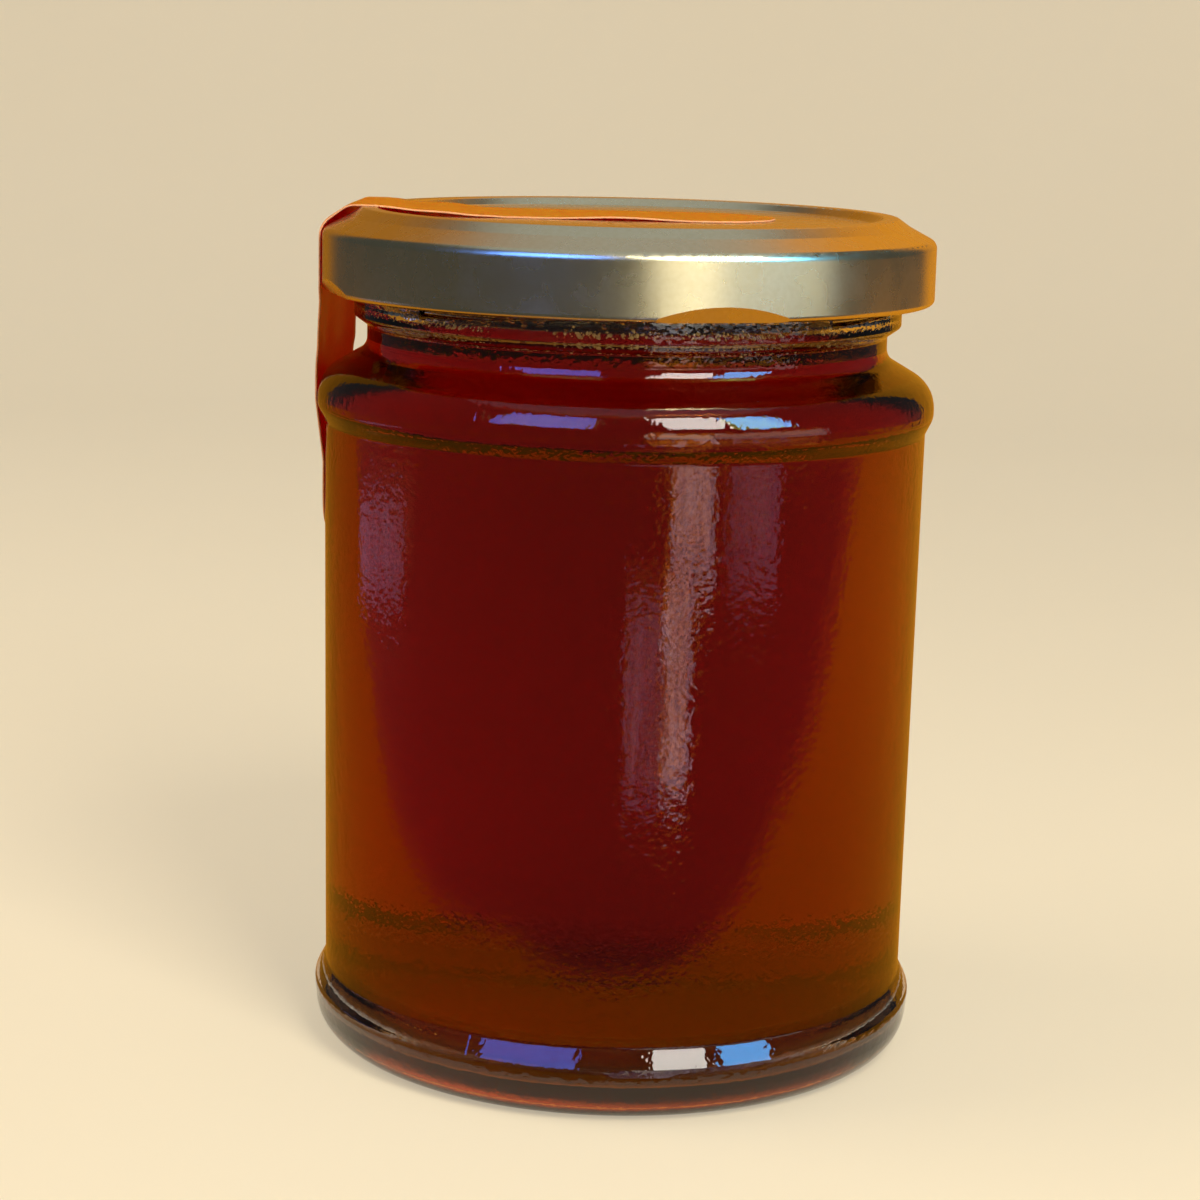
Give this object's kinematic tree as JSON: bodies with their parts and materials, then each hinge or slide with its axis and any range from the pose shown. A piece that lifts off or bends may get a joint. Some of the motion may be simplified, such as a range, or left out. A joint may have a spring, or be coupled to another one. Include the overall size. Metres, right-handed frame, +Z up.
{
  "type": "jar of honey",
  "caption": "Round glass jar full of dark honey, with a gold twist-off lid and a paper seal strip from lid to shoulder.",
  "frame": {"origin": "centre of the foot, on the surface the jar stands on", "axes": "+Z up through the lid; the front faces -Y and the seal strip runs down the -X side"},
  "size_m": [0.0741, 0.0738, 0.1008],
  "materials": {
    "clear_glass": "clear fire-polished container glass",
    "dark_honey": "clear dark amber liquid, looks brown-red where deep",
    "gold_lacquered_tinplate": "satin pale-gold lacquer over tinplate",
    "orange_label_paper": "smooth self-adhesive label paper, printed plain orange"
  },
  "bodies": {
    "root": {"jar_glass": "clear_glass", "honey": "dark_honey", "lid": "gold_lacquered_tinplate", "seal_strip": "orange_label_paper"}
  },
  "joints": []
}
